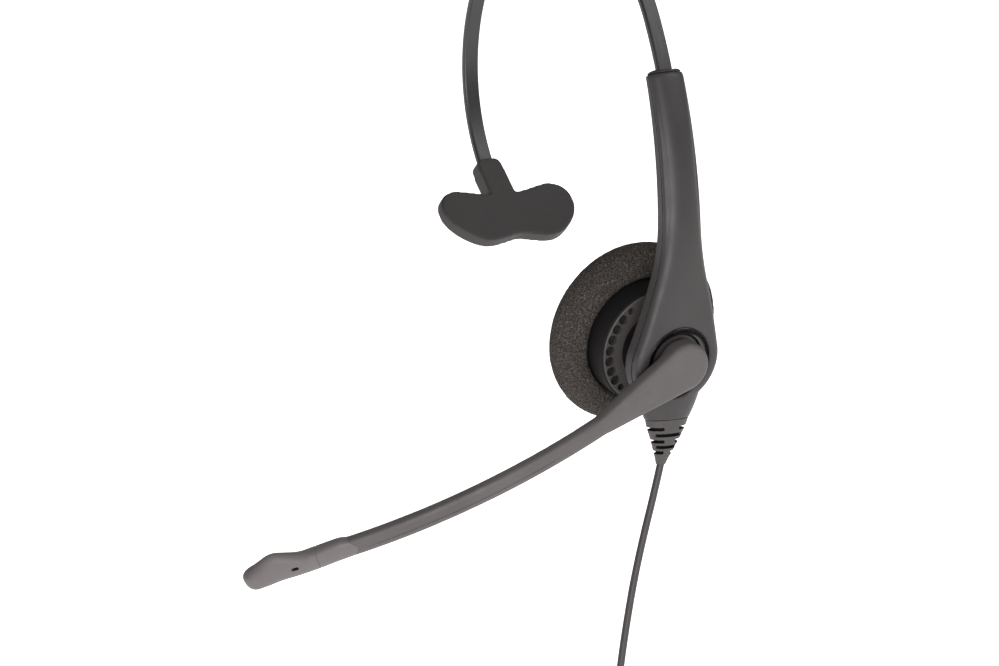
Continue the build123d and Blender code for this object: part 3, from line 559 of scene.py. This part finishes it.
MIC_SEAM_WIDTH, MIC_SEAM_DEPTH = 0.14, 0.28
PARTING_WIDTH, PARTING_DEPTH = 0.12, 0.1
PORT_AT, PORT_UP, PORT_LENGTH, PORT_HEIGHT, PORT_DEPTH = 6.4, -0.1, 0.95, 0.42, 0.9
PORT_EDGE, PORT_SLOPE = 1.3, 0.5  # where the port's edge starts, and how soon it is at full depth


def bell(distance, width):
    """A smooth bump of height 1 and about this half width."""
    return exp(-((distance / width) ** 2))


def mic_ring(station):
    """One section of the microphone, with its end seam, its parting line and its port sunk in."""
    closing = max(station - (MIC_TIP - MIC_TIP_ROUND), 0) / MIC_TIP_ROUND
    end = max(1 - closing**MIC_TIP_POWER, 0) ** (1 / MIC_TIP_POWER)
    upper, lower = eased(MIC_UP, station) * end, eased(MIC_DOWN, station) * end
    thick = eased(MIC_HALF_THICK, station) * end
    seam = MIC_SEAM_DEPTH * bell(station, MIC_SEAM_WIDTH)
    roof = MIC_BELLY + (MIC_ROOF - MIC_BELLY) * min(1, max(0, station / MIC_ROOF_RUN))
    ring = []
    for k in range(MIC_SPOKES):
        turn = 2 * pi * k / MIC_SPOKES
        a, b = rounded(turn, roof if cos(turn) > 0 else MIC_BELLY)
        up, out = a * (upper if a > 0 else lower), b * thick
        size = max((up * up + out * out) ** 0.5, 0.01)
        sunk = seam + (PARTING_DEPTH * bell(out, PARTING_WIDTH) if station > 0 else 0)
        up, out = up * (1 - min(sunk / size, 0.9)), out * (1 - min(sunk / size, 0.9))
        port = ((station - PORT_AT) / PORT_LENGTH) ** 4 + ((up - PORT_UP) / PORT_HEIGHT) ** 2
        if out > 0 and port < PORT_EDGE:
            out -= PORT_DEPTH * min(1, (PORT_EDGE - port) / PORT_SLOPE)
        ring.append(boom_point(BOOM_LENGTH + station, up, out))
    return ring


mic_stations = np.arange(MIC_UP[0][0], MIC_TIP, MIC_STEP).tolist() + [MIC_TIP - 0.02]
mic = placed_mesh("microphone", *skin([mic_ring(station) for station in mic_stations]), "boom", "boom_grey",
                  mic_grey_painted_lit)
mic.data.materials.append(painted_hole_shade)
port_centre = boom_point(BOOM_LENGTH + PORT_AT, PORT_UP, eased(MIC_HALF_THICK, PORT_AT) - 0.6)
port_ahead = (boom_point(BOOM_LENGTH + PORT_AT + 1, 0, 0) - boom_point(BOOM_LENGTH + PORT_AT, 0, 0)) / MM
# the port's faces take the painted shade
for polygon in mic.data.polygons:
    offset = (polygon.center - port_centre) / MM
    along, up = offset.dot(port_ahead) / PORT_LENGTH, offset.dot(BOOM_UP) / PORT_HEIGHT
    if offset.length < 2 and along**4 + up * up < 1.1:
        polygon.material_index = 1
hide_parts("mic_cover_outer", "mic_cover_inner", "boom_end_collar")

# the boom and its paddle in one softened skin
boom_skin = node_copy("boom_skin", "boom_arm", boom_grey)
soften(boom_skin, 0.3, 16)
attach(boom_skin, "boom")
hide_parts("boom_arm")

# a fine raised seam along the boom's outer face
SEAM_START, SEAM_END, SEAM_UP, SEAM_FADE = 38.0, BOOM_LENGTH - 11.0, -0.8, 6
SEAM_HALF_WIDTH, SEAM_PROUD, SEAM_SUNK = 0.16, 0.13, 0.1
SEAM_SECTION = ((-1.6, 0), (-1, 0.9), (0, 1), (1, 0.9), (1.6, 0), (0, -0.5))  # across, out
seam_rings = []
for distance in np.linspace(SEAM_START, SEAM_END, 120).tolist():
    grow = max(0, min(1, (distance - SEAM_START) / SEAM_FADE, (SEAM_END - distance) / SEAM_FADE))
    depth = SEAM_SUNK + SEAM_PROUD * grow
    seam_rings.append([boom_point(distance, SEAM_UP + u * SEAM_HALF_WIDTH, BOOM_FACE - SEAM_SUNK + o * depth)
                       for u, o in SEAM_SECTION])
placed_mesh("boom_seam", *skin(seam_rings), "boom", "boom_grey", boom_grey)

# ---------------------------------------------------------------- rest pad
PAD_CENTRE = Vector((-58.6, 0.0, 22.0))
PAD_TILT = radians(44.0)
PAD_NORMAL = Vector((cos(PAD_TILT), 0, sin(PAD_TILT)))
PAD_UP = PAD_NORMAL.cross(Vector((0, 1, 0)))
PAD_HALF = [(0, 7.4), (5.5, 7.4), (10.5, 8.6), (15.2, 9.5), (19.3, 7.6), (20.6, 3.2), (18.8, -1.6), (14.6, -5.8),
            (10.0, -7.9), (5.0, -7.1), (0, -5.8)]
PAD_BACK, PAD_FACE = -2.4, 1.1
SLEEVE_HALF_WIDTH, SLEEVE_TOP, SLEEVE_FOOT, SLEEVE_BACK = 3.85, 19.4, 3.0, -3.6


def pad_point(x, y, w):
    """A point, in metres, from millimetres back, up the band and towards the head."""
    return (PAD_CENTRE + Vector((0, 1, 0)) * x + PAD_UP * y + PAD_NORMAL * w) * MM


def rounded_line(corners, steps):
    """The closed outline with each corner cut twice a step."""
    return [(p.x, p.y) for p in smooth_profile(corners, steps)]


def prism(outline, low, high):
    return skin([[pad_point(x, y, w) for x, y in outline] for w in (low, high)])


pad_ring = rounded_line(PAD_HALF + [(-x, y) for x, y in reversed(PAD_HALF[1:-1])], 3)
pad_ring = [(x * 1.02, y * (1.03 if y > 0 else 0.97)) for x, y in pad_ring]
sleeve_ring = rounded_line([(-SLEEVE_HALF_WIDTH, SLEEVE_FOOT), (SLEEVE_HALF_WIDTH, SLEEVE_FOOT),
                            (SLEEVE_HALF_WIDTH, 12), (SLEEVE_HALF_WIDTH, SLEEVE_TOP - 1.5),
                            (SLEEVE_HALF_WIDTH - 1.5, SLEEVE_TOP), (1.5 - SLEEVE_HALF_WIDTH, SLEEVE_TOP),
                            (-SLEEVE_HALF_WIDTH, SLEEVE_TOP - 1.5), (-SLEEVE_HALF_WIDTH, 12)], 2)
pad_vertices, pad_faces = prism(pad_ring, PAD_BACK, PAD_FACE)
more_vertices, more_faces = prism(sleeve_ring, SLEEVE_BACK, PAD_FACE)
offset = len(pad_vertices)
rest_pad = placed_mesh("rest_pad", pad_vertices + more_vertices,
                       pad_faces + [tuple(i + offset for i in face) for face in more_faces],
                       "headband", "pad_rubber", pad_rubber)
soften(rest_pad, 0.35, 10)
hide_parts("tbar_pad", "tbar_frame")

# ---------------------------------------------------------------- pivot recess and arm
RECESS_SECTION = [(7.3, 22.1), (8.0, 22.15), (8.9, 22.5), (9.35, 23.0), (9.5, 23.35), (9.58, 23.35), (9.58, 22.1)]
recess = lathe("recess_gloss", RECESS_SECTION, 160)
smooth_shaded(recess.data)
recess.data.materials.append(gloss_black)
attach(recess, "arm")
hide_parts("pivot_trim_ring")

ARM_CENTRE, ARM_SPLIT = Vector((-104.0, 0, 24.7)), 127.5
ARM_OUTLINE = [(-80.0, 5.0), (-30.0, 5.75), (-20.0, 7.6), (-10.0, 10.6), (-3.0, 12.6), (14.0, 12.9)]  # down, half
CROWN_SHARE = [(-80.0, 0.42), (-40.0, 0.42), (-24.0, 0.34), (-12.0, 0.16), (14.0, 0.1)]


def crowned(piece):
    """Rounds the arm's outer face, which falls away towards both edges."""
    to_world = piece.matrix_world
    for vertex in piece.data.vertices:
        place = (to_world @ vertex.co) / MM
        spoke = Vector((place.x - ARM_CENTRE.x, 0, place.z - ARM_CENTRE.z))
        height = spoke.length - ARM_SPLIT
        if height <= 0:
            continue
        down = place.dot(EAR_DOWN)
        share = min(1, abs(place.y) / eased(ARM_OUTLINE, down))
        drop = height * eased(CROWN_SHARE, down) * share**2.4
        vertex.co = to_world.inverted() @ ((place - spoke.normalized() * drop) * MM)


for node_name in ("arm_outer_cover", "arm_top_bezel"):
    cover = node_copy(node_name.replace("arm", "crowned"), node_name, shell_black)
    soften(cover, 0.28, 10)
    crowned(cover)
    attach(cover, "arm")
    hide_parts(node_name)

# ---------------------------------------------------------------- strain relief
BOOT_STATIONS = [(-20.9, 17.1, 0.0, 3.4, 6.35), (-22.4, 17.05, -0.1, 3.3, 5.9), (-25.9, 16.9, -0.4, 2.95, 4.3),
                 (-29.5, 16.6, -0.8, 2.2, 2.7), (-32.0, 16.3, -1.1, 1.5, 1.6), (-33.0, 16.2, -1.2, 1.25, 1.3)]
BOOT_GROOVES = (-23.2, -24.9, -26.6, -28.2, -29.7)
BOOT_GROOVE_HALF, BOOT_GROOVE_DEPTH = 0.4, 1.3
BOOT_FOOT, BOOT_HEAD = -33.0, -20.9
WEB_START, WEB_SLOPE = 0.93, 0.05  # share of the half size at which a web closes a groove


def boot_centre(z):
    """The strain relief's centre and half sizes at a height."""
    return [eased([(station[0], station[i]) for station in reversed(BOOT_STATIONS)], z) for i in (1, 2, 3, 4)]


def boot_outline(z):
    """One section of the strain relief: grooves run round it, broken by a web on alternate sides."""
    centre_x, centre_y, half_x, half_y = boot_centre(z)
    groove, row = min((abs(z - place), i) for i, place in enumerate(BOOT_GROOVES))
    depth = BOOT_GROOVE_DEPTH if groove < BOOT_GROOVE_HALF else 0
    ring = []
    for k in range(96):
        a, b = rounded(2 * pi * k / 96, 2.1)
        web = abs(b) if row % 2 else abs(a)
        sunk = 1 - depth * min(1, max(0, (WEB_START - web) / WEB_SLOPE)) / half_y
        ring.append(Vector((centre_x + a * half_x * sunk, centre_y + b * half_y * sunk, z)) * MM)
    return ring


boot = placed_mesh("strain_boot", *skin([boot_outline(z) for z in np.linspace(BOOT_FOOT, BOOT_HEAD, 150).tolist()]),
                   "arm", "boot_rubber", boot_rubber)
boot.data.materials.append(painted_hole_shade)
# painted shade: the groove bottoms take the near-black hole material
for polygon in boot.data.polygons:
    height = polygon.center.z / MM
    groove = min(abs(height - place) for place in BOOT_GROOVES)
    centre_x, centre_y, half_x, half_y = boot_centre(height)
    x, y = (polygon.center.x / MM - centre_x) / half_x, (polygon.center.y / MM - centre_y) / half_y
    if groove < BOOT_GROOVE_HALF + 0.05 and x * x + y * y < 0.8:
        polygon.material_index = 1
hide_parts("strain_relief")

# ---------------------------------------------------------------- cord tie and plug
TIE_CENTRE = Vector(HANK_CENTRE)
TIE_HALF_X, TIE_HALF_Y, TIE_HALF_WIDTH = 6.3, 6.3, 3.0
TIE_SECTION = ((-1.0, 0.0), (-1.0, 0.6), (-0.85, 0.8), (-0.6, 0.62), (-0.3, 0.82), (0.0, 0.62), (0.3, 0.82),
               (0.6, 0.62), (0.85, 0.8), (1.0, 0.6), (1.0, 0.0))  # across the strap, out
BUCKLE_SECTIONS = ((5.6, 3.2, 3.9), (7.2, 3.2, 3.9), (7.9, 2.9, 3.6), (8.1, 2.3, 3.0))  # out, half sizes


def tie_ring(turn):
    """One section across the tie's strap, ribbed along its length."""
    a, b = rounded(turn, 2.8)
    outward = Vector((a, b, 0)).normalized()
    middle = TIE_CENTRE + Vector((a * TIE_HALF_X, b * TIE_HALF_Y, 0))
    return [(middle + outward * depth + Vector((0, 0, TIE_HALF_WIDTH * across))) * MM
            for across, depth in TIE_SECTION]


tie = placed_mesh("cord_strap", *skin([tie_ring(2 * pi * i / 96) for i in range(96)], closed=True), "arm",
                  "tie_plastic", tie_plastic)
buckle_rings = []
for x, y_size, z_size in BUCKLE_SECTIONS:
    ring = [rounded(2 * pi * k / 40, 5) for k in range(40)]
    buckle_rings.append([(TIE_CENTRE + Vector((x, a * y_size, b * z_size))) * MM for a, b in ring])
buckle = placed_mesh("tie_buckle", *skin(buckle_rings), "arm", "tie_plastic", tie_plastic)
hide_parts("cord_tie")

PLUG_AXIS = (14.0, -40.3)
PLUG_BODY_TOP, PLUG_BODY_END, PLUG_BOOT_LENGTH = -109.0, -127.0, 8.0
RIB_START, RIB_END, RIB_PITCH, RIB_DEPTH = 5, 14, 1.8, 0.22


def plug_ring(z, half_x, half_y, power):
    """One section of the plug about its axis."""
    ring = [rounded(2 * pi * k / 64, power) for k in range(64)]
    return [Vector((PLUG_AXIS[0] + a * half_x, PLUG_AXIS[1] + b * half_y, z)) * MM for a, b in ring]


def grip_section(z):
    """A plug body with rounded ends and five grip ribs across its flats."""
    height = z - PLUG_BODY_END
    end = 1 - 0.22 * max(0, 1 - min(height, PLUG_BODY_TOP - z) / 1.2) ** 2
    rib = RIB_DEPTH * (0.5 + 0.5 * cos(2 * pi * height / RIB_PITCH)) if RIB_START < height < RIB_END else 0
    return plug_ring(z, (3.3 - rib) * end, 3.9 * end, 2.8)


def boot_section(z):
    """A tapered boot with ring grooves."""
    share = (z - PLUG_BODY_TOP) / PLUG_BOOT_LENGTH
    groove = 0.35 if 0.15 < share < 0.95 and (share * 5) % 1 < 0.35 else 0
    half = 2.6 - 0.9 * share - groove
    return plug_ring(z, half, half, 2.0)


body_stations = np.linspace(PLUG_BODY_END, PLUG_BODY_TOP, 181).tolist()
# the plug grip shares the housing material and its painted shade
plug_body = placed_mesh("plug_grip", *skin([grip_section(z) for z in body_stations]), "arm", "housing_black",
                        housing_black)
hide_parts("plug_body")
boot_stations = np.linspace(PLUG_BODY_TOP, PLUG_BODY_TOP + PLUG_BOOT_LENGTH, 161).tolist()
plug_boot = placed_mesh("plug_flex", *skin([boot_section(z) for z in boot_stations]), "arm", "boot_rubber",
                        boot_rubber)
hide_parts("plug_boot")

# ---------------------------------------------------------------- floor and light
FLOOR_HALF, FLOOR_DROP = 20.0, 0.02  # metres
FLOOR_GLOW, SKY_GLOW = 1.15, 0.3  # the floor is a light table
GLOW_COLOUR = (1.0, 1.0, 0.995, 1)
floor_mesh = bpy.data.meshes.new("floor")
floor_mesh.from_pydata([(x * FLOOR_HALF, y * FLOOR_HALF, cad_low.z - FLOOR_DROP)
                        for x, y in ((-1, -1), (1, -1), (1, 1), (-1, 1))], [], [(0, 1, 2, 3)])
floor = placed_object("floor", floor_mesh)
pale = bpy.data.materials.new("pale_floor")
pale.use_nodes = True
pale_inputs = pale.node_tree.nodes["Principled BSDF"].inputs
pale_inputs["Base Color"].default_value = (0.95, 0.95, 0.945, 1)
pale_inputs["Roughness"].default_value = 0.9
pale_inputs["Specular IOR Level"].default_value = 0.0
pale_inputs["Emission Color"].default_value = GLOW_COLOUR
pale_inputs["Emission Strength"].default_value = FLOOR_GLOW
floor_mesh.materials.append(pale)

world = bpy.data.worlds.new("studio")
bpy.context.scene.world = world
world.use_nodes = True
world.node_tree.nodes["Background"].inputs["Color"].default_value = GLOW_COLOUR
world.node_tree.nodes["Background"].inputs["Strength"].default_value = SKY_GLOW
bpy.context.scene.view_settings.view_transform = "Standard"


def softbox(name, azimuth, elevation, distance, size, power):
    """A square light that faces the object from an azimuth and an elevation, in degrees."""
    light = bpy.data.lights.new(name, "AREA")
    light.size, light.energy = size, power
    made = placed_object(name, light)
    a, e = radians(azimuth), radians(elevation)
    back = Vector((sin(a) * cos(e), -cos(a) * cos(e), sin(e)))
    made.location = back * distance
    made.rotation_mode = "QUATERNION"
    made.rotation_quaternion = (-back).to_track_quat("-Z", "Y")


softbox("front", 60, -3, 1.6, 1.0, 30.0)
softbox("key", 139, 42, 1.6, 0.9, 8.0)
softbox("rim", 245, 35, 1.8, 1.0, 3.0)
